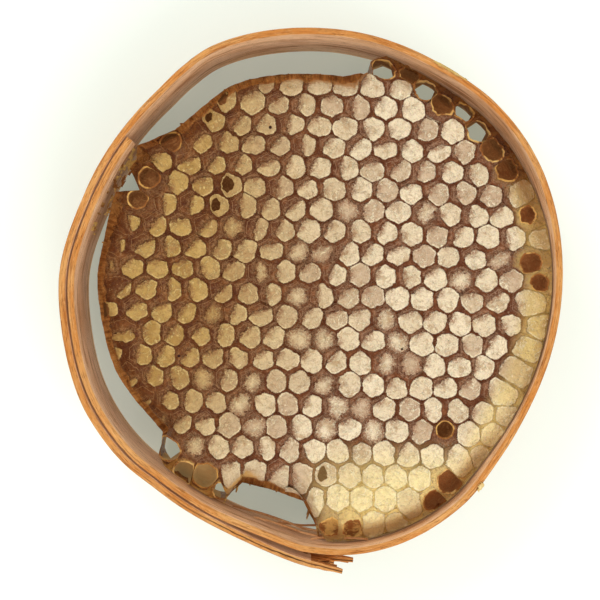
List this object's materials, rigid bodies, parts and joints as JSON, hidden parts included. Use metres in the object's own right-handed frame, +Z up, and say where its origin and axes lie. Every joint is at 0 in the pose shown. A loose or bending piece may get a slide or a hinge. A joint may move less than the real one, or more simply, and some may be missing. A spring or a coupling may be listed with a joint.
{
  "type": "honeycomb piece",
  "caption": "Round piece of capped honeycomb inside a hoop bent from one lapped strip of wood, with open cells along its ragged edge.",
  "frame": {"origin": "middle of the hoop's footprint box, on the plane that its bottom edge rests on", "axes": "+Z up through the comb's capped face, +Y towards the top of the picture, away from the strip's frayed end"},
  "size_m": [0.1162, 0.1265, 0.0323],
  "materials": {
    "comb": null,
    "wood": "thin bare softwood, split along the grain, stained by honey inside"
  },
  "bodies": {
    "root": {"comb": "comb", "hoop": "wood"}
  },
  "joints": []
}
